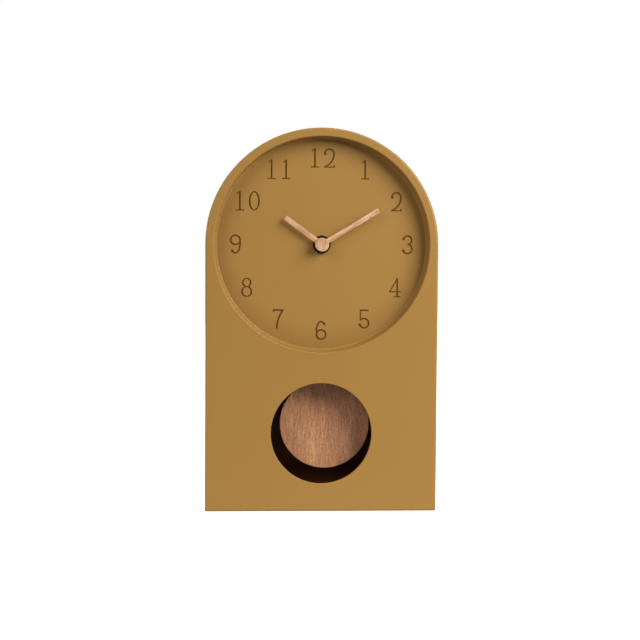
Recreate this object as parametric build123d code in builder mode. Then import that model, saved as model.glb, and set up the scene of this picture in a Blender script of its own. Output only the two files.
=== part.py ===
from build123d import *
import os
from math import acos, cos, pi, radians, sin, tan

# Desk pendulum clock. A moulded arched case holds a recessed dial, a battery movement that
# turns the hands, and a wooden bob that swings behind a round window.
# Millimetres. X is to the right, Y runs from the front to the back, Z is up. The origin is on
# the table, below the middle of the case. A depth is measured back from the front face.

# Case
case_width = 182.0
case_height = 301.0
case_depth = 60.0
case_wall = 3.0
front_edge_round = 1.5
back_edge_round = 0.8
base_corner_round = 0.8
foot_height = 0.6
foot_radius = 6.0
foot_inset_x = 17.0
foot_inset_y = 13.0

# Dial recess and dial
rim_width = 6.6
recess_depth = 9.5
recess_taper = 1.75
recess_lip_round = 0.8
recess_foot_round = 1.2
recess_floor_ring = 0.4
recess_web = 2.5
dial_thickness = 3.0
dial_gap = 0.05

# Numerals, engraved in the dial
numeral_circle = 67.6
numeral_height = 15.1
numeral_width = 8.6
numeral_pitch = 11.3
numeral_stem = 1.3
numeral_thin = 0.85
numeral_ball = 1.05
numeral_depth = 0.6
dial_hours = 12
one_foot = 6.4
one_flag_reach = 2.5
one_flag_drop = 2.3
two_tail = 2.2
three_top_radius = 3.3
four_bar_height = 4.4
four_width = 9.4
four_stem_offset = 1.2
four_foot = 5.2
five_neck_angle = 145.0
six_tip_angle = 48.0
seven_foot_offset = 1.1
seven_tail = 2.3
eight_top = 3.7
eight_top_width = 3.7
bowl_end_angle = 160.0

# Pendulum window
window_radius = 39.6
window_below_middle = 1.0
window_edge_round = 0.4

# Back of the case
cover_thickness = 2.5
cover_inset = 1.0
cover_gap = 0.3
access_margin = 11.0
access_corner = 6.0
boss_inset = 5.0
boss_bite = 0.8
side_boss_height = 118.0
arch_boss_angle = 42.0
screw_radius = 1.25
screw_length = 9.0
screw_hole_gap = 0.4
screw_head_radius = 3.0
screw_head_height = 1.6
screw_head_gap = 0.3
screw_sink = 1.2
screw_slot = 0.8
screw_slot_depth = 0.9
screw_slot_length = 3.6

# Movement
movement_width = 60.0
movement_above = 30.0
movement_below = 28.0
movement_depth = 16.0
movement_wall = 1.6
movement_corner = 3.0
bay_width = 36.0
bay_height = 34.0
bay_partition = 1.0
snap_width = 8.0
snap_length = 5.0
snap_thickness = 1.2
snap_gap = 0.1
bush_radius = 4.0
bush_collar = 5.0
bush_hole_gap = 0.2
washer_radius = 9.0
washer_thickness = 0.5
nut_radius = 7.1
nut_height = 2.4
nut_chamfer = 0.4
nut_flutes = 40
nut_flute_radius = 0.2
thread_end = 0.3

# Wheels
running_gap = 0.06
end_shake = 0.1
wheel_thickness = 1.2
layer_gap = 0.7
pivot_radius = 0.5
pivot_length = 1.0
arbor_radius = 1.0
fine_arbor_radius = 0.75
pipe_wall = 0.9
clutch_radius = 2.2
keeper_radius = 1.7
keeper_thickness = 0.4
tooth_play = 0.14
wheel_addendum = 0.8
pinion_addendum = 0.9
tooth_dedendum = 1.25
pressure_angle = 20.0
motion_distance = 12.3
motion_direction = 0.0
cannon_teeth = 12
minute_wheel_teeth = 36
minute_pinion_teeth = 10
hour_wheel_teeth = 40
centre_module = 0.35
centre_teeth = 60
third_module = 0.3
third_teeth = 64
fourth_module = 0.3
fourth_teeth = 48
leaf_teeth = 8
third_direction = 225.0
fourth_direction = 315.0
rotor_direction = 352.0

# Motor
rotor_radius = 3.0
rotor_height = 2.0
rotor_gap = 0.5
stator_thickness = 1.0
stator_margin = 2.2
stator_arm = 3.5
stator_side_gap = 2.56
stator_rise = 12.3
stator_fall = 6.8
core_width = 4.0
core_thickness = 1.0
core_inset = 1.0
coil_wall = 1.9
coil_round = 1.2
coil_gap = 0.1

# Circuit board
board_width = 7.0
board_height = 35.0
board_thickness = 1.0
board_side_gap = 1.8
board_top_gap = 1.4
post_radius = 1.5
post_inset = 5.0
crystal_radius = 1.0
crystal_length = 6.0
crystal_offset = 6.5
chip_radius = 2.4
chip_height = 1.1

# Battery and its contacts
battery_radius = 7.1
battery_edge_round = 0.6
battery_gap = 0.3
nub_radius = 2.75
nub_length = 1.3
contact_room = 3.15
contact_thickness = 0.4
contact_height = 9.0
contact_depth = 8.0

# Setting knob
knob_radius = 6.0
knob_height = 4.2
knob_lift = 0.4
knob_cap = 1.2
knob_flutes = 18
knob_flute_radius = 0.6
knob_chamfer = 0.5

# Hands
hand_gap = 0.4
hand_thickness = 1.1
hand_eye = 4.0
hand_edge_round = 0.25
minute_length = 51.8
minute_width = 3.7
minute_angle = 58.7
hour_length = 35.6
hour_width = 4.1
hour_angle = 306.1
cap_radius = 5.4
cap_height = 2.4
cap_edge_round = 0.35
cap_socket = 1.2

# Pendulum
pivot_drop = 34.0
pivot_pin_radius = 1.2
pivot_pin_grip = 3.2
pivot_head_radius = 2.4
pivot_head_height = 1.0
pivot_boss_radius = 3.2
pivot_boss_height = 4.4
swing_limit = 5.0
rest_swing = 1.9
bob_above_window = 5.5
bob_radius = 35.5
bob_thickness = 8.0
bob_set_back = 19.5
bob_edge_round = 0.5
hanger_width = 6.0
hanger_thickness = 2.5
hanger_below = 8.0
hanger_eye = 3.4
hook_radius = 1.2
hook_length = 1.5
hook_rise = 3.0
rod_width = 5.0
rod_thickness = 0.8
rod_end = 16.0
rod_hook_gap = 0.1
bob_screw_spacing = 12.0
bob_screw_radius = 1.0
bob_screw_length = 5.0
bob_screw_head_radius = 2.2
bob_screw_head_height = 1.2
magnet_radius = 4.0
magnet_height = 3.0
magnet_drop = 16.0
drive_coil_radius = 7.0
drive_coil_gap = 0.8
drive_coil_core = 1.5
slot_gap = 1.0

# Places worked out from the sizes above
front_face = -case_depth / 2
arch_radius = case_width / 2
dial_height = case_height - arch_radius
recess_radius = arch_radius - rim_width
recess_floor_radius = recess_radius - recess_taper
dial_seat_radius = recess_floor_radius - recess_foot_round - recess_floor_ring
panel_middle = (foot_height + dial_height - recess_radius) / 2
window_height = panel_middle - window_below_middle
dial_back = recess_depth + dial_thickness
web_back = dial_back + recess_web
cover_seat = case_depth - cover_inset - cover_thickness
movement_front = web_back + washer_thickness
movement_floor = movement_front + movement_wall
movement_back = movement_front + movement_depth
movement_lid = movement_back - movement_wall
movement_top = dial_height + movement_above
movement_bottom = dial_height - movement_below
bay_bottom = movement_bottom - bay_height
bush_front = recess_depth - nut_height - thread_end
hour_hand_back = bush_front - hand_gap
hour_hand_front = hour_hand_back - hand_thickness
minute_hand_back = hour_hand_front - hand_gap
minute_hand_front = minute_hand_back - hand_thickness
arbor_front = minute_hand_front - cap_socket
pipe_bore = arbor_radius + running_gap
pipe_radius = pipe_bore + pipe_wall
bush_bore = pipe_radius + running_gap
battery_height = movement_top - movement_wall - battery_gap - battery_radius
battery_depth = movement_floor + battery_gap + battery_radius
partition_top = battery_height - battery_radius - battery_gap
pendulum_pivot_height = dial_height - pivot_drop
bob_drop = pendulum_pivot_height - window_height - bob_above_window
bob_back = bob_set_back + bob_thickness
hanger_front = bob_back + rod_thickness
hanger_back = hanger_front + hanger_thickness
hanger_length = pendulum_pivot_height - bay_bottom + hanger_below
hook_drop = hanger_length - hook_rise
pin_head_front = hanger_back + end_shake


def layer_front(layer):
    return movement_floor + layer_gap + layer * (wheel_thickness + layer_gap)


def step_from(start, distance, direction):
    angle = radians(direction)
    return (start[0] + distance * cos(angle), start[1] + distance * sin(angle))


def centre_distance(module, wheel_teeth, pinion_teeth):
    return module * (wheel_teeth + pinion_teeth) / 2


# Arbor places in the front view, as (x, z)
dial_centre = (0.0, dial_height)
knob_place = step_from(dial_centre, motion_distance, motion_direction)
third_distance = centre_distance(centre_module, centre_teeth, leaf_teeth)
fourth_distance = centre_distance(third_module, third_teeth, leaf_teeth)
rotor_distance = centre_distance(fourth_module, fourth_teeth, leaf_teeth)
third_place = step_from(dial_centre, third_distance, third_direction)
fourth_place = step_from(third_place, fourth_distance, fourth_direction)
rotor_place = step_from(fourth_place, rotor_distance, rotor_direction)
pivot_place = (0.0, pendulum_pivot_height)
cannon_module = 2 * motion_distance / (cannon_teeth + minute_wheel_teeth)
hour_module = 2 * motion_distance / (minute_pinion_teeth + hour_wheel_teeth)

hour_layer, minute_layer, centre_layer, third_layer, fourth_layer = (layer_front(k) for k in range(5))


def facing(depth, place=(0.0, 0.0), turn=0.0):
    # Plane at a depth that faces the viewer, turned clockwise about its place in the front view
    angle = radians(turn)
    return Plane(
        origin=(place[0], front_face + depth, place[1]),
        x_dir=(cos(angle), 0, -sin(angle)),
        z_dir=(0, -1, 0),
    )


def post(place, front, back, radius, mode=Mode.ADD):
    # Round bar or hole between two depths
    with BuildSketch(facing(back, place)) as profile:
        Circle(radius)
    extrude(profile.sketch, amount=back - front, mode=mode)


def tooth_points(teeth, module, addendum):
    # Involute outline of a spur wheel with play at the pitch circle
    pitch = teeth * module / 2
    base = pitch * cos(radians(pressure_angle))
    tip = pitch + addendum * module
    root = pitch - tooth_dedendum * module
    radii = sorted({root, max(root, base), pitch, (pitch + tip) / 2, tip})
    start = tan(radians(pressure_angle)) - radians(pressure_angle)

    def half_angle(radius):
        roll = acos(base / max(radius, base))
        return pi / (2 * teeth) - tooth_play / (2 * pitch) + start - tan(roll) + roll

    points = []
    for tooth in range(teeth):
        middle = 2 * pi * tooth / teeth
        flanks = [(radius, -1) for radius in radii] + [(radius, 1) for radius in reversed(radii)]
        for radius, side in flanks:
            angle = middle + side * half_angle(radius)
            points.append((radius * cos(angle), radius * sin(angle)))
    return points


def mesh_phase(teeth, phase, other_teeth, direction):
    # Angle of a tooth on the other wheel that puts the two wheels in mesh
    return direction + 180 + 180 / other_teeth - (phase - direction) * teeth / other_teeth


def gear(place, front, teeth, module, addendum, phase=0.0):
    with BuildSketch(facing(front + wheel_thickness, place)) as profile:
        Polygon(*tooth_points(teeth, module, addendum), rotation=phase)
    extrude(profile.sketch, amount=wheel_thickness)


def pivots(place):
    # Bar between the two plates of the movement, with a thin pivot at each end
    post(place, movement_floor + end_shake, movement_lid - end_shake, fine_arbor_radius)
    post(place, movement_floor - pivot_length + end_shake, movement_floor + end_shake, pivot_radius)
    post(place, movement_lid - end_shake, movement_lid + pivot_length - end_shake, pivot_radius)


def case_face(depth, inset, corner):
    # Arched outline of the case, drawn a given distance inside its outer face
    half = arch_radius - inset
    base = foot_height + inset
    with BuildSketch(facing(depth)) as outline:
        with BuildLine():
            Polyline((-half, dial_height), (-half, base), (half, base), (half, dial_height))
            ThreePointArc((half, dial_height), (0, dial_height + half), (-half, dial_height))
        make_face()
        fillet(outline.vertices().group_by(Axis.Y)[0], corner)
    return outline.sketch


# Rear screws: a pair near the base, a pair up the sides and a pair in the arch
boss_radius = boss_inset + boss_bite
boss_reach = arch_radius - case_wall - boss_inset
base_boss_height = foot_height + case_wall + boss_inset
boss_heights = (base_boss_height, side_boss_height)
front_bosses = [(side * boss_reach, height) for side in (-1, 1) for height in boss_heights]
arch_bosses = [step_from(dial_centre, boss_reach, 90 + side * arch_boss_angle) for side in (-1, 1)]
screw_places = front_bosses + arch_bosses

# Case shell
with BuildPart() as case_shell:
    extrude(case_face(case_depth, 0, base_corner_round), amount=case_depth)
    fillet(case_shell.faces().sort_by(Axis.Y)[0].edges(), front_edge_round)
    fillet(case_shell.faces().sort_by(Axis.Y)[-1].edges(), back_edge_round)
    extrude(
        case_face(case_depth, case_wall, base_corner_round),
        amount=case_depth - case_wall,
        mode=Mode.SUBTRACT,
    )
    post(dial_centre, case_wall / 2, web_back, arch_radius - case_wall / 2)
    with BuildSketch(Plane.XY.offset(dial_height)) as recess:
        # Half section of the recess, with the air in front of the rim
        lip = (recess_radius, front_face)
        foot = (recess_floor_radius, front_face + recess_depth)
        air = (recess_radius + rim_width / 2, front_face - recess_depth)
        with BuildLine():
            Polyline((0, air[1]), air, (air[0], front_face), lip, foot, (0, foot[1]), close=True)
        make_face()
        fillet(recess.vertices().sort_by_distance(lip)[0], recess_lip_round)
        fillet(recess.vertices().sort_by_distance(foot)[0], recess_foot_round)
    revolve(recess.sketch, axis=Axis((0, 0, dial_height), (0, 1, 0)), mode=Mode.SUBTRACT)
    post(dial_centre, recess_depth, dial_back, dial_seat_radius, Mode.SUBTRACT)
    post(dial_centre, dial_back, web_back, bush_radius + bush_hole_gap, Mode.SUBTRACT)
    post((0, window_height), 0, case_wall, window_radius, Mode.SUBTRACT)
    fillet(case_shell.edges(Select.LAST).filter_by(GeomType.CIRCLE), window_edge_round)
    for place in front_bosses:
        post(place, case_wall / 2, cover_seat, boss_radius)
    for place in arch_bosses:
        post(place, dial_back + recess_web / 2, cover_seat, boss_radius)
    for place in screw_places:
        post(place, cover_seat - screw_length, cover_seat, screw_radius, Mode.SUBTRACT)
case_shell.part.label = "case_shell"


# Numeral strokes: half sizes, and the middle lines of the side strokes and the thin bars
half_width = numeral_width / 2
half_height = numeral_height / 2
side_line = half_width - numeral_stem / 2
bar_line = half_height - numeral_thin / 2
crown = half_height - numeral_stem / 2 - side_line


def zero():
    with BuildSketch() as glyph:
        Ellipse(half_width, half_height)
        Ellipse(half_width - numeral_stem, half_height - numeral_thin, mode=Mode.SUBTRACT)
    return glyph.sketch


def one():
    with BuildSketch() as glyph:
        Rectangle(numeral_stem, numeral_height)
        with Locations((0, -bar_line)):
            Rectangle(one_foot, numeral_thin)
        with BuildLine():
            Line((-one_flag_reach, half_height - one_flag_drop), (0, bar_line))
        trace(line_width=numeral_thin)
    return glyph.sketch


def two():
    with BuildSketch() as glyph:
        with BuildLine():
            CenterArc((0, crown), side_line, 180, -180)
            TangentArc((side_line, crown), (-side_line, -crown - side_line), tangent=(0, -1))
        trace(line_width=numeral_stem)
        with Locations((0, -bar_line)):
            Rectangle(numeral_width, numeral_thin)
        with Locations((half_width - numeral_thin / 2, two_tail / 2 - half_height)):
            Rectangle(numeral_thin, two_tail)
        with Locations((numeral_ball - half_width, crown)):
            Circle(numeral_ball)
    return glyph.sketch


def three():
    low_radius = half_height - numeral_stem / 2 - three_top_radius
    with BuildSketch() as glyph:
        with BuildLine():
            top_middle = (0, half_height - numeral_stem / 2 - three_top_radius)
            top_bowl = CenterArc(top_middle, three_top_radius, bowl_end_angle, -90 - bowl_end_angle)
        trace(line_width=numeral_stem)
        with BuildLine():
            low_middle = (0, low_radius + numeral_stem / 2 - half_height)
            low_bowl = CenterArc(low_middle, low_radius, 90, -90 - bowl_end_angle)
        trace(line_width=numeral_stem)
        with Locations(top_bowl @ 0, low_bowl @ 1):
            Circle(numeral_ball)
    return glyph.sketch


def four():
    bar_height = four_bar_height - half_height
    with BuildSketch() as glyph:
        with Locations((four_stem_offset, 0)):
            Rectangle(numeral_stem, numeral_height)
        with Locations((four_stem_offset, -bar_line)):
            Rectangle(four_foot, numeral_thin)
        with Locations((half_width - four_width / 2, bar_height)):
            Rectangle(four_width, numeral_thin)
        with BuildLine():
            bar_left = half_width - four_width + numeral_thin / 2
            Line((bar_left, bar_height), (four_stem_offset, bar_line))
        trace(line_width=numeral_thin)
    return glyph.sketch


def five():
    with BuildSketch() as glyph:
        with BuildLine():
            bowl = CenterArc((0, -crown), side_line, five_neck_angle, -five_neck_angle - bowl_end_angle)
        trace(line_width=numeral_stem)
        neck = bowl @ 0
        with BuildLine():
            Line(neck, (neck.X, half_height))
        trace(line_width=numeral_thin)
        with BuildLine():
            Line((neck.X - numeral_thin / 2, crown + side_line), (side_line, crown + side_line))
        trace(line_width=numeral_stem)
        with Locations(bowl @ 1):
            Circle(numeral_ball)
    return glyph.sketch


def six():
    with BuildSketch() as glyph:
        with Locations((0, -crown)):
            Circle(half_width)
            Circle(half_width - numeral_stem, mode=Mode.SUBTRACT)
        with BuildLine():
            hook_sweep = 180 - six_tip_angle
            hook = EllipticalCenterArc(
                (0, 0), side_line, crown + side_line, six_tip_angle, arc_size=hook_sweep
            )
            Line((-side_line, 0), (-side_line, -crown))
        trace(line_width=numeral_stem)
        with Locations(hook @ 0):
            Circle(numeral_ball)
    return glyph.sketch


def seven():
    with BuildSketch() as glyph:
        with Locations((0, half_height - numeral_stem / 2)):
            Rectangle(numeral_width, numeral_stem)
        with Locations((numeral_thin / 2 - half_width, half_height - seven_tail / 2)):
            Rectangle(numeral_thin, seven_tail)
        with BuildLine():
            TangentArc((-seven_foot_offset, -half_height), (side_line, crown + side_line), tangent=(0, 1))
        trace(line_width=numeral_stem)
    return glyph.sketch


def eight():
    low_height = half_height + numeral_thin / 2 - eight_top
    with BuildSketch() as glyph:
        for inset_x, inset_y, mode in ((0, 0, Mode.ADD), (numeral_stem, numeral_thin, Mode.SUBTRACT)):
            with Locations((0, half_height - eight_top)):
                Ellipse(eight_top_width - inset_x, eight_top - inset_y, mode=mode)
            with Locations((0, low_height - half_height)):
                Ellipse(half_width - inset_x, low_height - inset_y, mode=mode)
    return glyph.sketch


def nine():
    with BuildSketch() as glyph:
        add(six(), rotation=180)
    return glyph.sketch


digits = [shape() for shape in (zero, one, two, three, four, five, six, seven, eight, nine)]

# Dial plate
with BuildPart() as dial_plate:
    post(dial_centre, recess_depth, dial_back, dial_seat_radius - dial_gap)
    post(dial_centre, recess_depth, dial_back, bush_radius + bush_hole_gap, Mode.SUBTRACT)
    with BuildSketch(facing(recess_depth, dial_centre)) as numerals:
        for hour in range(1, dial_hours + 1):
            middle = step_from((0, 0), numeral_circle, 90 - hour * 360 / dial_hours)
            figures = [int(figure) for figure in str(hour)]
            for position, figure in enumerate(figures):
                shift = (position - (len(figures) - 1) / 2) * numeral_pitch
                with Locations((middle[0] + shift, middle[1])):
                    add(digits[figure])
    extrude(numerals.sketch, amount=-numeral_depth, mode=Mode.SUBTRACT)
dial_plate.part.label = "dial_plate"

# Rear cover with its access window
access_width = movement_width + 2 * access_margin
access_height = movement_top - bay_bottom + 2 * access_margin
cover_back = case_depth - cover_inset
with BuildPart() as rear_cover:
    extrude(case_face(cover_back, case_wall + cover_gap, base_corner_round), amount=cover_thickness)
    with BuildSketch(facing(cover_back, (0, (movement_top + bay_bottom) / 2))) as access:
        RectangleRounded(access_width, access_height, access_corner)
    extrude(access.sketch, amount=cover_thickness, mode=Mode.SUBTRACT)
    for place in screw_places:
        post(place, cover_seat, cover_back, screw_radius + screw_hole_gap, Mode.SUBTRACT)
        post(place, cover_back - screw_sink, cover_back, screw_head_radius + screw_head_gap, Mode.SUBTRACT)
rear_cover.part.label = "rear_cover"

# Rear cover screws
head_front = cover_back - screw_sink
with BuildPart() as rear_cover_screws:
    for place in screw_places:
        post(place, cover_seat - screw_length, head_front, screw_radius)
        post(place, head_front, head_front + screw_head_height, screw_head_radius)
        with BuildSketch(facing(head_front + screw_head_height, place)) as cross:
            Rectangle(screw_slot_length, screw_slot)
            Rectangle(screw_slot, screw_slot_length)
        extrude(cross.sketch, amount=screw_slot_depth, mode=Mode.SUBTRACT)
rear_cover_screws.part.label = "rear_cover_screws"

# Foot pads
with BuildPart() as foot_pads:
    with BuildSketch():
        with GridLocations(case_width - 2 * foot_inset_x, case_depth - 2 * foot_inset_y, 2, 2):
            Circle(foot_radius)
    extrude(amount=foot_height)
foot_pads.part.label = "foot_pads"


def movement_face(depth, inset):
    # Outline of the movement: a square block with the pendulum bay below it
    half = movement_width / 2 - inset
    bay_half = bay_width / 2 - inset
    top = movement_top - inset
    bottom = movement_bottom + inset
    bay = bay_bottom + inset
    with BuildSketch(facing(depth)) as outline:
        with BuildLine():
            Polyline(
                (-half, top), (half, top), (half, bottom), (bay_half, bottom), (bay_half, bay),
                (-bay_half, bay), (-bay_half, bottom), (-half, bottom), close=True,
            )
        make_face()
        if inset == 0:
            outer_corners = outline.vertices().filter_by(lambda v: abs(v.X) > bay_half + inset)
            fillet(outer_corners + outline.vertices().group_by(Axis.Y)[0], movement_corner)
    return outline.sketch


def block(x_span, z_span, front, back, mode=Mode.ADD):
    # Rectangular block between two depths
    place = ((x_span[0] + x_span[1]) / 2, (z_span[0] + z_span[1]) / 2)
    with BuildSketch(facing(back, place)) as profile:
        Rectangle(x_span[1] - x_span[0], z_span[1] - z_span[0])
    extrude(profile.sketch, amount=back - front, mode=mode)


inner_half = movement_width / 2 - movement_wall
partition_span = (partition_top - bay_partition, partition_top)
board_right = board_side_gap + board_width - inner_half
board_span = (board_right - board_width, board_right)
board_top = partition_span[0] - board_top_gap
board_bottom = board_top - board_height
board_front = fourth_layer
board_back = board_front + board_thickness
board_middle = ((board_span[0] + board_span[1]) / 2, (board_top + board_bottom) / 2)
post_places = [(board_middle[0], board_top - post_inset), (board_middle[0], board_bottom + post_inset)]
wheel_places = [third_place, fourth_place, rotor_place]
rotor_back = fourth_layer - layer_gap / 2
stator_front = rotor_back - (rotor_height + stator_thickness) / 2
stator_back = stator_front + stator_thickness
rotor_hole = rotor_radius + rotor_gap
stator_left = rotor_place[0] - rotor_hole - stator_margin
stator_right = inner_half - stator_side_gap
stator_bottom = rotor_place[1] - stator_fall
stator_top = rotor_place[1] + stator_rise
arm_span = (stator_bottom + stator_arm, stator_top - stator_arm)
core_right = stator_right - core_inset
core_middle = core_right - core_width / 2
core_back = stator_back + core_thickness
arm_places = [(stator_right - post_radius, height) for height in (
    (stator_bottom + arm_span[0]) / 2, (stator_top + arm_span[1]) / 2
)]
bay_swing = (pendulum_pivot_height - bay_bottom) * tan(radians(swing_limit))
slot_half = hanger_width / 2 + bay_swing + slot_gap
boss_back = movement_floor + pivot_boss_height
pin_front = boss_back - pivot_pin_grip

# Movement housing, open at the back
with BuildPart() as movement_housing:
    extrude(movement_face(movement_lid, 0), amount=movement_lid - movement_front)
    extrude(
        movement_face(movement_lid, movement_wall),
        amount=movement_lid - movement_floor,
        mode=Mode.SUBTRACT,
    )
    block((-inner_half, inner_half), partition_span, movement_floor, movement_lid)
    bay_span = (-bay_width / 2, bay_width / 2)
    block(bay_span, (movement_bottom, movement_bottom + movement_wall), movement_front, movement_lid)
    for place in post_places:
        post(place, movement_floor, board_front, post_radius)
    for place in arm_places:
        post(place, movement_floor, stator_front, post_radius)
    post(pivot_place, movement_floor, boss_back, pivot_boss_radius)
    post(pivot_place, pin_front, boss_back, pivot_pin_radius, Mode.SUBTRACT)
    post(dial_centre, movement_front, movement_floor, bush_collar, Mode.SUBTRACT)
    for place in wheel_places + [knob_place]:
        hole_front = movement_floor - pivot_length
        post(place, hole_front, movement_floor, pivot_radius + running_gap, Mode.SUBTRACT)
    block(
        (-slot_half, slot_half),
        (bay_bottom, bay_bottom + movement_wall),
        hanger_front - slot_gap,
        movement_lid,
        Mode.SUBTRACT,
    )
movement_housing.part.label = "movement_housing"

# Movement cover, with its battery opening and four snap legs
with BuildPart() as movement_cover:
    with BuildSketch(facing(movement_back, (0, (movement_top + movement_bottom) / 2))) as plate:
        RectangleRounded(movement_width, movement_above + movement_below, movement_corner)
    extrude(plate.sketch, amount=movement_wall)
    battery_span = (partition_top, movement_top - movement_wall)
    block((-inner_half, inner_half), battery_span, movement_lid, movement_back, Mode.SUBTRACT)
    leg_outer = inner_half - snap_gap
    for side in (-1, 1):
        leg_x = sorted((side * leg_outer, side * (leg_outer - snap_thickness)))
        for height in (board_bottom, board_top - snap_width):
            block(leg_x, (height, height + snap_width), movement_lid - snap_length, movement_lid)
    for place in wheel_places + [dial_centre]:
        post(place, movement_lid, movement_lid + pivot_length, pivot_radius + running_gap, Mode.SUBTRACT)
    post(knob_place, movement_lid, movement_back, arbor_radius + running_gap, Mode.SUBTRACT)
movement_cover.part.label = "movement_cover"

# Threaded bush
with BuildPart() as threaded_bush:
    post(dial_centre, bush_front, movement_front, bush_radius)
    post(dial_centre, movement_front, movement_floor, bush_collar)
    post(dial_centre, bush_front, movement_floor, bush_bore, Mode.SUBTRACT)
threaded_bush.part.label = "threaded_bush"

# Rubber washer between the case and the movement
with BuildPart() as rubber_washer:
    post(dial_centre, web_back, movement_front, washer_radius)
    post(dial_centre, web_back, movement_front, bush_radius + bush_hole_gap, Mode.SUBTRACT)
rubber_washer.part.label = "rubber_washer"

# Fixing nut with a fluted edge
with BuildPart() as fixing_nut:
    post(dial_centre, recess_depth - nut_height, recess_depth, nut_radius)
    chamfer(fixing_nut.edges().sort_by(Axis.Y)[0], nut_chamfer)
    post(dial_centre, recess_depth - nut_height, recess_depth, bush_radius, Mode.SUBTRACT)
    with BuildSketch(facing(recess_depth, dial_centre)) as flutes:
        with PolarLocations(nut_radius, nut_flutes):
            Circle(nut_flute_radius)
    extrude(flutes.sketch, amount=nut_height, mode=Mode.SUBTRACT)
fixing_nut.part.label = "fixing_nut"

# Tooth places that put every pair of wheels in mesh at rest
minute_wheel_phase = mesh_phase(cannon_teeth, 0, minute_wheel_teeth, motion_direction)
hour_wheel_phase = mesh_phase(minute_pinion_teeth, 0, hour_wheel_teeth, motion_direction + 180)
third_pinion_phase = mesh_phase(centre_teeth, 0, leaf_teeth, third_direction)
fourth_pinion_phase = mesh_phase(third_teeth, 0, leaf_teeth, fourth_direction)
rotor_pinion_phase = mesh_phase(fourth_teeth, 0, leaf_teeth, rotor_direction)

# Minute arbor with its cannon pinion, and the two collars that hold the centre wheel
keeper_front = centre_layer + wheel_thickness + end_shake
with BuildPart() as minute_arbor:
    post(dial_centre, arbor_front, movement_lid - end_shake, arbor_radius)
    post(dial_centre, movement_lid - end_shake, movement_lid + pivot_length - end_shake, pivot_radius)
    post(dial_centre, minute_layer + wheel_thickness, centre_layer - end_shake, clutch_radius)
    post(dial_centre, keeper_front, keeper_front + keeper_thickness, keeper_radius)
    gear(dial_centre, minute_layer, cannon_teeth, cannon_module, pinion_addendum)
minute_arbor.part.label = "minute_arbor"

# Centre wheel, which slips on the arbor when the hands are set
with BuildPart() as centre_wheel:
    gear(dial_centre, centre_layer, centre_teeth, centre_module, wheel_addendum)
    centre_back = centre_layer + wheel_thickness
    post(dial_centre, centre_layer, centre_back, arbor_radius + running_gap, Mode.SUBTRACT)
centre_wheel.part.label = "centre_wheel"

# Hour wheel with its pipe
with BuildPart() as hour_wheel:
    gear(dial_centre, hour_layer, hour_wheel_teeth, hour_module, wheel_addendum, hour_wheel_phase)
    post(dial_centre, hour_hand_front, hour_layer, pipe_radius)
    post(dial_centre, hour_hand_front, hour_layer + wheel_thickness, pipe_bore, Mode.SUBTRACT)
hour_wheel.part.label = "hour_wheel"

# Minute wheel with its pinion and the shaft of the setting knob
knob_front = movement_back + knob_lift
knob_shaft_back = knob_front + knob_height - knob_cap
with BuildPart() as minute_wheel:
    gear(knob_place, minute_layer, minute_wheel_teeth, cannon_module, wheel_addendum, minute_wheel_phase)
    gear(knob_place, hour_layer, minute_pinion_teeth, hour_module, pinion_addendum)
    post(knob_place, movement_floor - pivot_length + end_shake, movement_floor + end_shake, pivot_radius)
    post(knob_place, movement_floor + end_shake, knob_shaft_back, arbor_radius)
minute_wheel.part.label = "minute_wheel"

# Setting knob on the back of the movement
with BuildPart() as setting_knob:
    post(knob_place, knob_front, knob_front + knob_height, knob_radius)
    chamfer(setting_knob.edges().sort_by(Axis.Y)[-1], knob_chamfer)
    post(knob_place, knob_front, knob_shaft_back, arbor_radius, Mode.SUBTRACT)
    with BuildSketch(facing(knob_front + knob_height, knob_place)) as grips:
        with PolarLocations(knob_radius, knob_flutes):
            Circle(knob_flute_radius)
    extrude(grips.sketch, amount=knob_height, mode=Mode.SUBTRACT)
setting_knob.part.label = "setting_knob"

# Third wheel, fourth wheel and rotor, each on its own arbor
with BuildPart() as third_wheel:
    pivots(third_place)
    gear(third_place, centre_layer, leaf_teeth, centre_module, pinion_addendum, third_pinion_phase)
    gear(third_place, third_layer, third_teeth, third_module, wheel_addendum)
third_wheel.part.label = "third_wheel"

with BuildPart() as fourth_wheel:
    pivots(fourth_place)
    gear(fourth_place, third_layer, leaf_teeth, third_module, pinion_addendum, fourth_pinion_phase)
    gear(fourth_place, fourth_layer, fourth_teeth, fourth_module, wheel_addendum)
fourth_wheel.part.label = "fourth_wheel"

with BuildPart() as rotor:
    pivots(rotor_place)
    gear(rotor_place, fourth_layer, leaf_teeth, fourth_module, pinion_addendum, rotor_pinion_phase)
    post(rotor_place, rotor_back - rotor_height, rotor_back, rotor_radius)
rotor.part.label = "rotor"

# Stator: a flat plate round the rotor with two arms that carry the coil core
with BuildPart() as stator:
    block((stator_left, stator_right), (stator_bottom, stator_top), stator_front, stator_back)
    arm_start = rotor_place[0] + rotor_hole + stator_margin
    block((arm_start, stator_right), arm_span, stator_front, stator_back, Mode.SUBTRACT)
    post(rotor_place, stator_front, stator_back, rotor_hole, Mode.SUBTRACT)
stator.part.label = "stator"

with BuildPart() as motor_core:
    block((core_right - core_width, core_right), (stator_bottom, stator_top), stator_back, core_back)
motor_core.part.label = "motor_core"

with BuildPart() as motor_coil:
    with BuildSketch(Plane.XY.offset(arm_span[0])) as winding:
        with Locations((core_middle, front_face + (stator_back + core_back) / 2)):
            RectangleRounded(core_width + 2 * coil_wall, core_thickness + 2 * coil_wall, coil_round)
            Rectangle(core_width + 2 * coil_gap, core_thickness + 2 * coil_gap, mode=Mode.SUBTRACT)
    extrude(winding.sketch, amount=arm_span[1] - arm_span[0])
motor_coil.part.label = "motor_coil"

# Circuit board with its chip and quartz crystal
with BuildPart() as circuit_board:
    block(board_span, (board_bottom, board_top), board_front, board_back)
circuit_board.part.label = "circuit_board"

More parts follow.
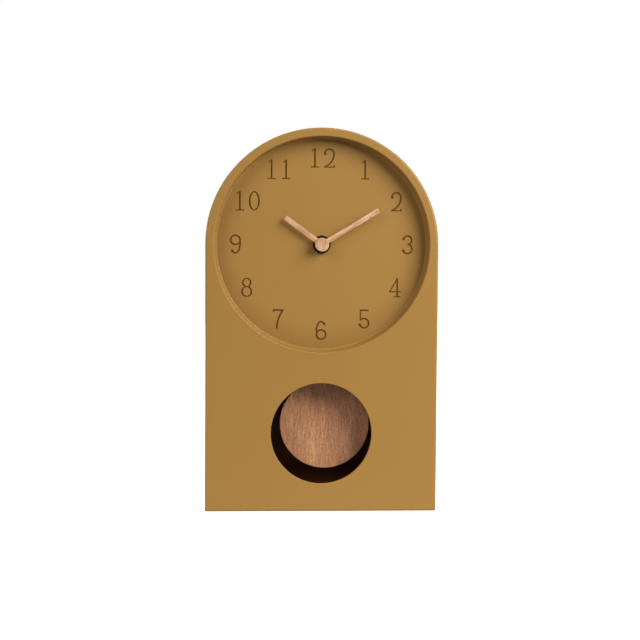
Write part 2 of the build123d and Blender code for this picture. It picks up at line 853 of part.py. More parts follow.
with BuildPart() as control_chip:
    post(board_middle, board_back, board_back + chip_height, chip_radius)
control_chip.part.label = "control_chip"

with BuildPart() as quartz_crystal:
    with BuildSketch(Plane.XY.offset(board_middle[1] + crystal_offset)) as can:
        with Locations((board_middle[0], front_face + board_back + crystal_radius)):
            Circle(crystal_radius)
    extrude(can.sketch, amount=crystal_length)
quartz_crystal.part.label = "quartz_crystal"

# Battery
battery_end = inner_half - contact_room
battery_length = 2 * battery_end - nub_length
with BuildPart() as battery:
    with BuildSketch(Plane.YZ.offset(-battery_end)) as can:
        with Locations((front_face + battery_depth, battery_height)):
            Circle(battery_radius)
    extrude(can.sketch, amount=battery_length)
    fillet(battery.edges(), battery_edge_round)
    with BuildSketch(Plane.YZ.offset(battery_end - nub_length)) as nub:
        with Locations((front_face + battery_depth, battery_height)):
            Circle(nub_radius)
    extrude(nub.sketch, amount=nub_length)
battery.part.label = "battery"


def contact_leaf(side):
    # Folded strip between one end of the battery and the side of the housing
    blade = side * (battery_end + contact_thickness / 2)
    root = side * (inner_half - contact_thickness / 2)
    low = battery_height - contact_height / 2
    high = battery_height + contact_height / 2
    with BuildSketch(facing(battery_depth + contact_depth / 2)) as strip:
        with BuildLine():
            Polyline((blade, low), (blade, high), (root, high), (root, low))
        trace(line_width=contact_thickness)
    extrude(strip.sketch, amount=contact_depth)


with BuildPart() as positive_contact:
    contact_leaf(1)
positive_contact.part.label = "positive_contact"

with BuildPart() as negative_contact:
    contact_leaf(-1)
negative_contact.part.label = "negative_contact"


def hand(angle, length, width, front, bore):
    # Straight wooden bar with a round eye, pointing at an angle from twelve
    with BuildSketch(facing(front + hand_thickness, dial_centre, angle)) as profile:
        with Locations((0, length / 2)):
            Rectangle(width, length)
        Circle(hand_eye)
        Circle(bore, mode=Mode.SUBTRACT)
    extrude(profile.sketch, amount=hand_thickness)


# Hands and their cap
with BuildPart() as hour_hand:
    hand(hour_angle, hour_length, hour_width, hour_hand_front, pipe_radius)
    fillet(hour_hand.faces().sort_by(Axis.Y)[0].outer_wire().edges(), hand_edge_round)
hour_hand.part.label = "hour_hand"

with BuildPart() as minute_hand:
    hand(minute_angle, minute_length, minute_width, minute_hand_front, arbor_radius)
    fillet(minute_hand.faces().sort_by(Axis.Y)[0].outer_wire().edges(), hand_edge_round)
minute_hand.part.label = "minute_hand"

with BuildPart() as hand_cap:
    post(dial_centre, minute_hand_front - cap_height, minute_hand_front, cap_radius)
    fillet(hand_cap.edges().sort_by(Axis.Y)[0], cap_edge_round)
    post(dial_centre, arbor_front, minute_hand_front, arbor_radius, Mode.SUBTRACT)
hand_cap.part.label = "hand_cap"


def hanging(depth):
    # Plane at a depth that hangs from the pendulum's pivot, swung as it is at rest
    return facing(depth, pivot_place, -rest_swing)


def hung_post(drop, front, back, radius, mode=Mode.ADD):
    # Round bar or hole on the pendulum, a given distance below its pivot
    with BuildSketch(hanging(back)) as profile:
        with Locations((0, -drop)):
            Circle(radius)
    extrude(profile.sketch, amount=back - front, mode=mode)


def hung_bar(top_drop, low_drop, width, front, back):
    # Flat bar on the pendulum between two distances below its pivot
    with BuildSketch(hanging(back)) as profile:
        with Locations((0, -(top_drop + low_drop) / 2)):
            Rectangle(width, low_drop - top_drop)
    extrude(profile.sketch, amount=back - front)


# Pendulum drive coil and pivot pin, both fixed in the bay of the movement
magnet_front = hanger_front - magnet_height
coil_back = magnet_front - drive_coil_gap
with BuildPart() as drive_coil:
    coil_place = (0, pendulum_pivot_height - magnet_drop)
    post(coil_place, movement_floor, coil_back, drive_coil_radius)
    post(coil_place, movement_floor, coil_back, drive_coil_core, Mode.SUBTRACT)
drive_coil.part.label = "drive_coil"

with BuildPart() as pendulum_pivot:
    post(pivot_place, pin_front, pin_head_front, pivot_pin_radius)
    post(pivot_place, pin_head_front, pin_head_front + pivot_head_height, pivot_head_radius)
pendulum_pivot.part.label = "pendulum_pivot"

# Pendulum hanger with its eye on the pin and its hook below the bay
eye_front = boss_back + end_shake
with BuildPart() as pendulum_hanger:
    hung_bar(0, hanger_length, hanger_width, hanger_front, hanger_back)
    hung_post(0, eye_front, hanger_back, hanger_eye)
    hung_post(0, eye_front, hanger_back, pivot_pin_radius + running_gap, Mode.SUBTRACT)
    hung_post(hook_drop, hanger_front - hook_length, hanger_front, hook_radius)
pendulum_hanger.part.label = "pendulum_hanger"

with BuildPart() as pendulum_magnet:
    hung_post(magnet_drop, magnet_front, hanger_front, magnet_radius)
pendulum_magnet.part.label = "pendulum_magnet"

# Pendulum rod, a flat strip from the hook to the back of the bob
bob_screw_drops = [bob_drop - bob_screw_spacing / 2, bob_drop + bob_screw_spacing / 2]
with BuildPart() as pendulum_rod:
    hung_bar(hook_drop, bob_drop + rod_end, rod_width, bob_back, hanger_front)
    hung_post(hook_drop, bob_back, hanger_front, rod_width / 2)
    hung_post(hook_drop, bob_back, hanger_front, hook_radius + rod_hook_gap, Mode.SUBTRACT)
    for drop in bob_screw_drops:
        hung_post(drop, bob_back, hanger_front, bob_screw_radius, Mode.SUBTRACT)
pendulum_rod.part.label = "pendulum_rod"

# Wooden bob and its two screws
with BuildPart() as pendulum_bob:
    hung_post(bob_drop, bob_set_back, bob_back, bob_radius)
    fillet(pendulum_bob.edges().filter_by(GeomType.CIRCLE), bob_edge_round)
    for drop in bob_screw_drops:
        hung_post(drop, bob_back - bob_screw_length, bob_back, bob_screw_radius, Mode.SUBTRACT)
pendulum_bob.part.label = "pendulum_bob"

with BuildPart() as bob_screws:
    for drop in bob_screw_drops:
        hung_post(drop, bob_back - bob_screw_length, hanger_front, bob_screw_radius)
        hung_post(drop, hanger_front, hanger_front + bob_screw_head_height, bob_screw_head_radius)
bob_screws.part.label = "bob_screws"

pieces = [
    case_shell, dial_plate, rear_cover, rear_cover_screws, foot_pads,
    movement_housing, movement_cover, threaded_bush, rubber_washer, fixing_nut,
    minute_arbor, centre_wheel, hour_wheel, minute_wheel, setting_knob,
    third_wheel, fourth_wheel, rotor, stator, motor_core, motor_coil,
    circuit_board, control_chip, quartz_crystal, battery, positive_contact, negative_contact,
    hour_hand, minute_hand, hand_cap,
    drive_coil, pendulum_pivot, pendulum_hanger, pendulum_magnet, pendulum_rod, pendulum_bob, bob_screws,
]
os.makedirs("parts", exist_ok=True)
for piece in pieces:
    export_step(piece.part, f"parts/{piece.part.label}.step")
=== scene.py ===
import math
import bmesh
import bpy
from mathutils import Matrix, Vector


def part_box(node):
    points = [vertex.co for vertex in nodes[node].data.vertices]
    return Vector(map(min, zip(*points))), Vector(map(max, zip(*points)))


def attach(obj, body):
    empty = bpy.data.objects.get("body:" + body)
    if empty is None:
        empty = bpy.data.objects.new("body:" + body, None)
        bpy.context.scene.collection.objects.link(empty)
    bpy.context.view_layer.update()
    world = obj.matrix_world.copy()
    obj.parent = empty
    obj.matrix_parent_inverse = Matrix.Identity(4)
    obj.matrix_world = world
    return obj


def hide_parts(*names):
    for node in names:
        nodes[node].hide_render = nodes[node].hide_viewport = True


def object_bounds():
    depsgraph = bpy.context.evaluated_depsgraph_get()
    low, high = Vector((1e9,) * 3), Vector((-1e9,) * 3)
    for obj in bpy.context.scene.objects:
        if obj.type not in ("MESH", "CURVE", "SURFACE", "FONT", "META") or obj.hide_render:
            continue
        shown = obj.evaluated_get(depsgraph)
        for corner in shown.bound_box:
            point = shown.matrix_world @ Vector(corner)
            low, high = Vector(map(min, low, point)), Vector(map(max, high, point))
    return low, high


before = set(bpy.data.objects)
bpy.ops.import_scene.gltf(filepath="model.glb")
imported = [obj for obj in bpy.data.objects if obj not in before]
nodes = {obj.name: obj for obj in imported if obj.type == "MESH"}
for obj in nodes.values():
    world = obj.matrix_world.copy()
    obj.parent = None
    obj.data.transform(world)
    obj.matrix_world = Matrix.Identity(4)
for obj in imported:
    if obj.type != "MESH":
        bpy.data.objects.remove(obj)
cadLow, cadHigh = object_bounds()
white = (1.0, 1.0, 1.0)
print("frame loaded:", len(nodes), "pieces")


def boxMiddle(name):
    low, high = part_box(name)
    return (Vector(low) + Vector(high)) / 2


def boxSize(name):
    low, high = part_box(name)
    return Vector(high) - Vector(low)


# shader helpers

def startMaterial(name, roughness, metallic=0.0):
    material = bpy.data.materials.new(name)
    material.use_nodes = True
    tree = material.node_tree
    shader = tree.nodes["Principled BSDF"]
    shader.inputs["Roughness"].default_value = roughness
    shader.inputs["Metallic"].default_value = metallic
    return material, tree, shader


def addNode(tree, kind, settings=None, **sockets):
    node = tree.nodes.new(kind)
    for key, value in (settings or {}).items():
        setattr(node, key, value)
    for key, value in sockets.items():
        node.inputs[key].default_value = value
    return node


def placeCoords(tree, turn=0.0, stretch=(1, 1, 1)):
    # place on the piece in metres, turned about the front-to-back axis and then stretched
    coords = tree.nodes.new("ShaderNodeTexCoord")
    turned = addNode(tree, "ShaderNodeMapping", Rotation=(0, turn, 0))
    stretched = addNode(tree, "ShaderNodeMapping", Scale=stretch)
    tree.links.new(coords.outputs["Object"], turned.inputs["Vector"])
    tree.links.new(turned.outputs["Vector"], stretched.inputs["Vector"])
    return stretched.outputs["Vector"]


def splitPlace(tree, place):
    parts = tree.nodes.new("ShaderNodeSeparateXYZ")
    tree.links.new(place, parts.inputs["Vector"])
    return parts.outputs


def addNoise(tree, vector, scale, detail=2.0, distortion=0.0):
    noise = addNode(tree, "ShaderNodeTexNoise", Scale=scale, Detail=detail, Distortion=distortion)
    tree.links.new(vector, noise.inputs["Vector"])
    return noise.outputs["Fac"]


def addRamp(tree, factor, stops):
    ramp = tree.nodes.new("ShaderNodeValToRGB")
    elements = ramp.color_ramp.elements
    while len(elements) < len(stops):
        elements.new(0.5)
    for element, (place, colour) in zip(elements, stops):
        element.position = place
        element.color = (*colour, 1.0)
    tree.links.new(factor, ramp.inputs["Fac"])
    return ramp.outputs["Color"]


def mixColours(tree, factor, first, second, blend="MIX"):
    mix = addNode(tree, "ShaderNodeMix", {"data_type": "RGBA", "blend_type": blend})
    ends = {"Factor": mix.inputs[0], "A": mix.inputs[6], "B": mix.inputs[7]}
    for key, value in (("Factor", factor), ("A", first), ("B", second)):
        if isinstance(value, bpy.types.NodeSocket):
            tree.links.new(value, ends[key])
        elif isinstance(value, tuple):
            ends[key].default_value = (*value, 1.0)
        else:
            ends[key].default_value = value
    return mix.outputs[2]


def compare(tree, value, operation, limit):
    test = addNode(tree, "ShaderNodeMath", {"operation": operation})
    tree.links.new(value, test.inputs[0])
    test.inputs[1].default_value = limit
    return test.outputs["Value"]


def combine(tree, operation, first, *others):
    for other in others:
        join = addNode(tree, "ShaderNodeMath", {"operation": operation})
        tree.links.new(first, join.inputs[0])
        tree.links.new(other, join.inputs[1])
        first = join.outputs["Value"]
    return first


def mapValue(tree, factor, low, high):
    spread = addNode(tree, "ShaderNodeMapRange", **{"To Min": low, "To Max": high})
    tree.links.new(factor, spread.inputs["Value"])
    return spread.outputs["Result"]


def addFade(tree, value, start, end):
    # rises smoothly from zero at the start to one at the end
    fade = addNode(tree, "ShaderNodeMapRange", {"interpolation_type": "SMOOTHSTEP"},
                   **{"From Min": start, "From Max": end})
    tree.links.new(value, fade.inputs["Value"])
    return fade.outputs["Result"]


def addBump(tree, shader, height, strength, distance):
    bump = addNode(tree, "ShaderNodeBump", Strength=strength, Distance=distance)
    tree.links.new(height, bump.inputs["Height"])
    tree.links.new(bump.outputs["Normal"], shader.inputs["Normal"])


def dress(material, *names):
    for name in names:
        nodes[name].data.materials.clear()
        nodes[name].data.materials.append(material)


# mustard paint on the case and the dial

paint = {
    "deep": (0.372, 0.192, 0.037),
    "plain": (0.398, 0.209, 0.044),
    "cut": (0.178, 0.060, 0.001),
    # painted shade: the inner sides of the shell and the cover are a darker mustard, standing in for the
    # shade inside the case
    "inside": (0.190, 0.098, 0.027),
    "gloss": 0.40,
    "roughness": (0.50, 0.62),
    "cloudScale": 11.0,
    "peelScale": 1500.0,
    "peelBump": 0.25,
    "peelDepth": 0.00006,
    "cutFrom": 0.00012,   # how far behind the dial's face the brown of the numbers starts
    "skin": 0.0018,       # how far round a wall's edge the plain mustard reaches before the painted shade of the inner side
    "baseSkin": 0.0060,   # the base keeps the plain mustard on its upper side too, without the painted shade
    "coverSkin": 0.0004,
    "paintedLightTop": 0.028,     # painted light: below here the cover's inner side fades from its painted shade to the plain mustard at its foot
    "paintedLightFull": 0.012,
    "rim": 0.0058,        # from the arch to the middle of the recess's wall
    "lip": 0.0005,
    "wallShade": (0.87, 0.87, 0.87),   # painted shade on the recess's steep wall
    "dialEdgeShade": (0.88, 0.88, 0.88),   # painted shade on the dial's outer ring beside the wall
    "edgeFrom": 0.063,
    "edgeTo": 0.078,
}


def squareFromDial(tree, at, belowToo=True):
    # squared distance from the dial's axis, or below it from the middle line
    rise = compare(tree, at["Z"], "SUBTRACT", boxMiddle("dial_plate").z)
    if not belowToo:
        rise = compare(tree, rise, "MAXIMUM", 0.0)
    side = combine(tree, "MULTIPLY", at["X"], at["X"])
    return combine(tree, "ADD", side, combine(tree, "MULTIPLY", rise, rise))


# mask for the painted shade on the shell's inner side
def insideCase(tree, at):
    # one where a point of the shell is on its inner side
    low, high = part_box("case_shell")
    radius, dialFace = high[0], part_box("dial_plate")[0][1]
    inside = compare(tree, squareFromDial(tree, at, False), "LESS_THAN", (radius - paint["skin"]) ** 2)
    above = compare(tree, at["Z"], "GREATER_THAN", low[2] + paint["baseSkin"])
    behind = compare(tree, at["Y"], "GREATER_THAN", low[1] + paint["skin"])
    beyond = compare(tree, squareFromDial(tree, at), "GREATER_THAN", (radius - paint["rim"]) ** 2)
    deep = compare(tree, at["Y"], "GREATER_THAN", dialFace + paint["skin"])
    return combine(tree, "MULTIPLY", inside, above, behind, combine(tree, "MAXIMUM", beyond, deep))


# mask for the painted shade on the recess's steep wall
def onRecess(tree, at):
    low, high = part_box("case_shell")
    within = compare(tree, squareFromDial(tree, at), "LESS_THAN", (high[0] - paint["rim"]) ** 2)
    behind = compare(tree, at["Y"], "GREATER_THAN", low[1] + paint["lip"])
    return combine(tree, "MULTIPLY", within, behind)


# mask for the painted shade on the dial, rising towards the recess's wall
def atDialEdge(tree, at):
    return addFade(tree, squareFromDial(tree, at), paint["edgeFrom"] ** 2, paint["edgeTo"] ** 2)


def inNumbers(tree, at):
    return compare(tree, at["Y"], "GREATER_THAN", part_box("dial_plate")[0][1] + paint["cutFrom"])


# mask for the painted shade on the cover's inner side
def insideCover(tree, at):
    return compare(tree, at["Y"], "LESS_THAN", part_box("rear_cover")[0][1] + paint["coverSkin"])


# mask for the painted light low on the cover's inner side, standing in for light coming in at the bottom
def lowInCover(tree, at):
    thin = addFade(tree, at["Z"], paint["paintedLightTop"], paint["paintedLightFull"])
    return combine(tree, "MULTIPLY", thin, insideCover(tree, at))


def paintMaterial(name, *coats):
    # each coat is a mask, the colour that shows where the mask is one, and how it blends
    material, tree, shader = startMaterial(name, paint["roughness"][0])
    shader.inputs["Specular IOR Level"].default_value = paint["gloss"]
    place = placeCoords(tree)
    colour = mixColours(tree, addNoise(tree, place, paint["cloudScale"]), paint["deep"], paint["plain"])
    at = splitPlace(tree, place)
    for mask, tint, blend in coats:
        colour = mixColours(tree, mask(tree, at), colour, tint, blend)
    tree.links.new(colour, shader.inputs["Base Color"])
    peel = addNoise(tree, place, paint["peelScale"])
    tree.links.new(mapValue(tree, peel, *paint["roughness"]), shader.inputs["Roughness"])
    addBump(tree, shader, peel, paint["peelBump"], paint["peelDepth"])
    return material


# the case: painted shade on the recess's wall, and a darker painted shade on the shell's inner side
casePaint = paintMaterial(
    "mustardPaint", (onRecess, paint["wallShade"], "MULTIPLY"), (insideCase, paint["inside"], "MIX"))
# the cover: painted shade on its inner side, with painted light towards its foot
coverPaint = paintMaterial(
    "coverPaint", (insideCover, paint["inside"], "MIX"), (lowInCover, paint["plain"], "MIX"))
# the dial: painted shade on its outer ring; the brown of the numbers is their own colour
dialPaint = paintMaterial(
    "dialPaint", (atDialEdge, paint["dialEdgeShade"], "MULTIPLY"), (inNumbers, paint["cut"], "MIX"))
dress(casePaint, "case_shell")
dress(coverPaint, "rear_cover")
dress(dialPaint, "dial_plate")
print("case painted")


# wood of the hands, their cap and the bob

bob = {
    "figure": (
        (0.28, (0.540, 0.236, 0.108)), (0.50, (0.640, 0.296, 0.142)), (0.72, (0.770, 0.382, 0.188))),
    "figureScale": 70.0,
    "figureWave": 0.9,
    "figureAlong": 0.16,
    "figureDetail": 4.0,
    "fibreScale": 1350.0,
    "fibreAlong": 0.07,
    "fibreDetail": 3.0,
    "fibreFrom": 0.30,
    "fibreTo": 0.70,
    "fibreDark": (0.59, 0.54, 0.49),
    "poreScale": 1500.0,
    "poreAlong": 0.40,
    "poreDetail": 2.0,
    "poreFrom": 0.34,
    "poreTo": 0.62,
    "poreDark": (0.70, 0.65, 0.62),
    "poreBump": 0.35,
    "poreDepth": 0.0002,
    "roughness": (0.48, 0.62),
    "streakAt": 0.0045,    # a broad paler streak, which leans a little
    "streakLean": 0.28,
    "streakWide": 0.024,
    "streakTone": (1.28, 1.37, 1.35),
}

hand = {
    "figure": (
        (0.25, (0.560, 0.320, 0.172)), (0.50, (0.620, 0.368, 0.206)), (0.75, (0.690, 0.425, 0.250))),
    "figureScale": 260.0,
    "figureWave": 0.5,
    "figureAlong": 0.12,
    "figureDetail": 4.0,
    "fibreScale": 900.0,
    "fibreAlong": 0.10,
    "fibreDetail": 3.0,
    "fibreFrom": 0.30,
    "fibreTo": 0.70,
    "fibreDark": (0.58, 0.40, 0.26),
    "poreScale": 1900.0,
    "poreAlong": 0.14,
    "poreDetail": 2.0,
    "poreFrom": 0.30,
    "poreTo": 0.40,
    "poreDark": (0.70, 0.60, 0.52),
    "poreBump": 0.30,
    "poreDepth": 0.0002,
    "roughness": (0.50, 0.62),
    "minuteAngle": 58.7,   # from twelve, clockwise
    "hourAngle": 306.1,
    "capAngle": 0.0,
    "minuteTone": (1.33, 1.47, 1.61),
    "hourTone": (1.27, 1.39, 1.45),
    "capTone": (1.35, 1.48, 1.59),
}


def addStreak(tree, colour, spec):
    at = splitPlace(tree, placeCoords(tree, spec["streakLean"]))
    side = compare(tree, at["X"], "SUBTRACT", spec["streakAt"])
    gap = addNode(tree, "ShaderNodeMath", {"operation": "ABSOLUTE"})
    tree.links.new(side, gap.inputs[0])
    fade = addFade(tree, gap.outputs["Value"], spec["streakWide"], 0.0)
    return mixColours(tree, 1.0, colour, mixColours(tree, fade, white, spec["streakTone"]), "MULTIPLY")


def woodMaterial(name, spec, angle=0.0, tone=white):
    material, tree, shader = startMaterial(name, spec["roughness"][0])

    def grain(kind, wave=0.0):
        # noise drawn out along the wood, more so with a smaller share along
        place = placeCoords(tree, -math.radians(angle), (1.0, 1.0, spec[kind + "Along"]))
        return addNoise(tree, place, spec[kind + "Scale"], spec[kind + "Detail"], wave)

    def darken(colour, kind, factor):
        stops = ((spec[kind + "From"], spec[kind + "Dark"]), (spec[kind + "To"], white))
        return mixColours(tree, 1.0, colour, addRamp(tree, factor, stops), "MULTIPLY")

    toned = [(at, tuple(c * t for c, t in zip(colour, tone))) for at, colour in spec["figure"]]
    colour = addRamp(tree, grain("figure", spec["figureWave"]), toned)
    fibre, pore = grain("fibre"), grain("pore")
    colour = darken(colour, "fibre", fibre)
    colour = darken(colour, "pore", pore)
    if "streakTone" in spec:
        colour = addStreak(tree, colour, spec)
    tree.links.new(colour, shader.inputs["Base Color"])
    tree.links.new(mapValue(tree, fibre, *spec["roughness"]), shader.inputs["Roughness"])
    addBump(tree, shader, pore, spec["poreBump"], spec["poreDepth"])
    return material


dress(woodMaterial("bobWood", bob), "pendulum_bob")
for kind, name in (("minute", "minute_hand"), ("hour", "hour_hand"), ("cap", "hand_cap")):
    dress(woodMaterial(kind + "Wood", hand, hand[kind + "Angle"], hand[kind + "Tone"]), name)
print("wood done")


# plastics, metals and rubber

plastic = {
    "cloudScale": 40.0,
    "darker": 0.82,
    "roughnessSpread": 0.07,
    "grain": 2200.0,
    "bump": 0.2,
    "grainDepth": 0.00005,
}

metal = {
    "darker": 0.80,
    "smoother": 0.06,
    "rougher": 0.08,
    "along": (1.0, 1.0, 0.03),
    "lineScale": 2600.0,
    "bump": 0.12,
    "lineDepth": 0.00003,
}


def moulded(name, colour, roughness, grain=plastic["grain"], bump=plastic["bump"]):
    material, tree, shader = startMaterial(name, roughness)
    place = placeCoords(tree)
    cloud = addNoise(tree, place, plastic["cloudScale"])
    darker = tuple(plastic["darker"] * c for c in colour)
    tree.links.new(mixColours(tree, cloud, darker, colour), shader.inputs["Base Color"])
    texture = addNoise(tree, place, grain)
    either = plastic["roughnessSpread"]
    spread = mapValue(tree, texture, roughness - either, roughness + either)
    tree.links.new(spread, shader.inputs["Roughness"])
    addBump(tree, shader, texture, bump, plastic["grainDepth"])
    return material


def drawn(name, colour, roughness, along=metal["along"], scale=metal["lineScale"]):
    # metal with fine lines along one way
    material, tree, shader = startMaterial(name, roughness, 1.0)
    lines = addNoise(tree, placeCoords(tree, 0.0, along), scale)
    darker = tuple(metal["darker"] * c for c in colour)
    tree.links.new(mixColours(tree, lines, darker, colour), shader.inputs["Base Color"])
    spread = mapValue(tree, lines, roughness - metal["smoother"], roughness + metal["rougher"])
    tree.links.new(spread, shader.inputs["Roughness"])
    addBump(tree, shader, lines, metal["bump"], metal["lineDepth"])
    return material


blackPlastic = moulded("blackPlastic", (0.020, 0.020, 0.021), 0.48)
nylon = moulded("whiteNylon", (0.720, 0.700, 0.620), 0.42)
blackRubber = moulded("blackRubber", (0.018, 0.018, 0.018), 0.82, 900.0, 0.4)
steel = drawn("steel", (0.560, 0.560, 0.565), 0.30)
zinc = drawn("zincPlate", (0.430, 0.430, 0.445), 0.34, (1.0, 1.0, 1.0), 1400.0)
brass = drawn("turnedBrass", (0.640, 0.440, 0.160), 0.28, (0.05, 1.0, 0.05))
nickel = drawn("nickel", (0.680, 0.665, 0.630), 0.20)
copper = drawn("enamelledCopper", (0.520, 0.190, 0.070), 0.30, (1.0, 1.0, 0.2), 900.0)

dress(blackPlastic, "movement_housing", "movement_cover", "setting_knob", "pendulum_hanger")
dress(moulded("nutBlack", (0.010, 0.010, 0.011), 0.18, 900.0, 0.05), "fixing_nut")
dress(nylon, "hour_wheel", "minute_wheel", "centre_wheel", "third_wheel", "fourth_wheel")
dress(moulded("bondedMagnet", (0.052, 0.052, 0.056), 0.40), "rotor")
dress(steel, "minute_arbor", "stator", "motor_core", "pendulum_pivot", "pendulum_rod")
dress(zinc, "rear_cover_screws", "bob_screws")
dress(brass, "threaded_bush")
dress(copper, "motor_coil", "drive_coil")
dress(moulded("boardGreen", (0.010, 0.085, 0.030), 0.36), "circuit_board")
dress(moulded("chipResin", (0.012, 0.012, 0.012), 0.25), "control_chip")
dress(nickel, "quartz_crystal", "positive_contact", "negative_contact", "pendulum_magnet")
dress(blackRubber, "rubber_washer", "foot_pads")
print("metals and plastics done")


# mesh helpers

turning = {
    "steps": 96,
    "merge": 1e-7,
    "tooShort": 1e-8,
    "sharpAngle": 35.0,
}


def newPiece(name, mesh, material, body):
    piece = bpy.data.objects.new(name, mesh)
    bpy.context.scene.collection.objects.link(piece)
    mesh.materials.append(material)
    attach(piece, body)
    return piece


def latheMesh(name, profile, centre, axis):
    # closed outline of (distance along the axis, radius), turned about the axis
    mesh = bpy.data.meshes.new(name)
    work = bmesh.new()
    ways = {"X": (Vector((1, 0, 0)), Vector((0, 1, 0)), Vector((0, 0, 1))),
            "Y": (Vector((0, 1, 0)), Vector((0, 0, 1)), Vector((1, 0, 0)))}
    along, up, side = ways[axis]
    rings = []
    for step in range(turning["steps"]):
        angle = 2 * math.pi * step / turning["steps"]
        out = up * math.cos(angle) + side * math.sin(angle)
        rings.append([work.verts.new(centre + along * d + out * r) for d, r in profile])
    for here, there in zip(rings, rings[1:] + rings[:1]):
        for k in range(len(profile)):
            n = (k + 1) % len(profile)
            work.faces.new((here[k], here[n], there[n], there[k]))
    bmesh.ops.remove_doubles(work, verts=work.verts, dist=turning["merge"])
    bmesh.ops.dissolve_degenerate(work, edges=work.edges, dist=turning["tooShort"])
    bmesh.ops.recalc_face_normals(work, faces=work.faces)
    work.to_mesh(mesh)
    work.free()
    for face in mesh.polygons:
        face.use_smooth = True
    mesh.set_sharp_from_angle(angle=math.radians(turning["sharpAngle"]))
    return mesh


def plateMesh(name, outlines, low, high):
    # flat outlines of (x, z) points, drawn out from y low to y high
    mesh = bpy.data.meshes.new(name)
    work = bmesh.new()
    for outline in outlines:
        back = [work.verts.new((x, low, z)) for x, z in outline]
        front = [work.verts.new((x, high, z)) for x, z in outline]
        work.faces.new(back)
        work.faces.new(front)
        for k in range(len(outline)):
            n = (k + 1) % len(outline)
            work.faces.new((back[k], back[n], front[n], front[k]))
    bmesh.ops.recalc_face_normals(work, faces=work.faces)
    work.to_mesh(mesh)
    work.free()
    return mesh


# battery: a steel can in a printed sleeve

cell = {
    "nubLength": 0.0013,
    "nubShare": 0.387,       # nub radius as a share of the can's
    "canShare": 0.972,
    "rimShare": 0.90,
    "seatShare": 0.80,
    "plateShare": 0.60,
    "step": 0.00045,
    "sleeveEnd": 0.0004,
    "bandFrom": 0.0135,      # pale band at the plus end
    "bandTo": 0.0165,
    "sleeve": (0.020, 0.034, 0.052),
    "band": (0.500, 0.510, 0.500),
    "roughness": (0.22, 0.40),
    "scuffScale": 600.0,
    "scuffDetail": 3.0,
    "scuffBump": 0.08,
    "scuffDepth": 0.00004,
}


def sleeveMaterial():
    material, tree, shader = startMaterial("batterySleeve", cell["roughness"][0])
    place = placeCoords(tree)
    at = splitPlace(tree, place)
    past = compare(tree, at["X"], "GREATER_THAN", cell["bandFrom"])
    before = compare(tree, at["X"], "LESS_THAN", cell["bandTo"])
    colour = mixColours(tree, combine(tree, "MULTIPLY", past, before), cell["sleeve"], cell["band"])
    tree.links.new(colour, shader.inputs["Base Color"])
    scuff = addNoise(tree, place, cell["scuffScale"], cell["scuffDetail"])
    tree.links.new(mapValue(tree, scuff, *cell["roughness"]), shader.inputs["Roughness"])
    addBump(tree, shader, scuff, cell["scuffBump"], cell["scuffDepth"])
    return material


def addBattery():
    low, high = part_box("battery")
    middle = boxMiddle("battery")
    radius = (high[2] - low[2]) / 2
    minus, plus = low[0] - middle.x, high[0] - middle.x
    shoulder = plus - cell["nubLength"]
    step, nub = cell["step"], radius * cell["nubShare"]
    can, rim = radius * cell["canShare"], radius * cell["rimShare"]
    seat, plate = radius * cell["seatShare"], radius * cell["plateShare"]
    profile = [
        (minus, 0), (minus, plate), (minus + step, plate + step), (minus + step, seat), (minus, rim),
        (minus + step, can), (shoulder - step, can), (shoulder, rim), (shoulder - step, seat),
        (shoulder - step, nub + 2 * step), (shoulder, nub + step), (shoulder, nub),
        (plus - step, nub), (plus, nub - step), (plus, 0),
    ]
    mesh = latheMesh("battery_can", profile, middle, "X")
    newPiece("battery_can", mesh, nickel, "case")
    start, end = minus + cell["sleeveEnd"], shoulder - cell["sleeveEnd"]
    profile = [
        (start, can - step / 2), (start, can), (start + step, radius), (end - step, radius),
        (end, can), (end, can - step / 2),
    ]
    mesh = latheMesh("battery_sleeve", profile, middle, "X")
    foil = sleeveMaterial()
    dress(foil, "battery")
    sleeve = newPiece("battery_sleeve", mesh, foil, "case")
    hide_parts("battery")


addBattery()


# drive coil: copper wire wound on a flanged bobbin

winding = {
    "flange": 0.0007,
    "flangeRound": 0.0002,
    "bore": 0.0015,
    "barrel": 0.0026,
    "wire": 0.00036,         # thickness of the wire with its enamel
    "belowFlange": 0.0004,
    "turnSteps": 64,
    "wireSides": 8,
}


def windingMesh(name, centre, start, end, radius):
    # one layer of wire, wound as a helix over a plain core
    wire, barrel = winding["wire"], winding["barrel"]
    path = radius - wire / 2
    turns = int((end - start) / wire) - 1
    core = [(start, barrel), (start, path), (end, path), (end, barrel)]
    mesh = latheMesh(name, core, centre, "Y")
    work = bmesh.new()
    work.from_mesh(mesh)
    rings = []
    for step in range(turns * winding["turnSteps"] + 1):
        angle = 2 * math.pi * step / winding["turnSteps"]
        along = start + wire * (0.5 + step / winding["turnSteps"])
        out = Vector((math.sin(angle), 0, math.cos(angle)))
        ring = []
        for side in range(winding["wireSides"]):
            around = 2 * math.pi * side / winding["wireSides"]
            reach = path + wire / 2 * math.cos(around)
            shift = Vector((0, along + wire / 2 * math.sin(around), 0))
            ring.append(work.verts.new(centre + out * reach + shift))
        rings.append(ring)
    for here, there in zip(rings, rings[1:]):
        for k in range(winding["wireSides"]):
            n = (k + 1) % winding["wireSides"]
            face = work.faces.new((here[k], here[n], there[n], there[k]))
            face.smooth = True
    work.faces.new(rings[0])
    work.faces.new(rings[-1])
    bmesh.ops.recalc_face_normals(work, faces=work.faces)
    work.to_mesh(mesh)
    work.free()
    return mesh


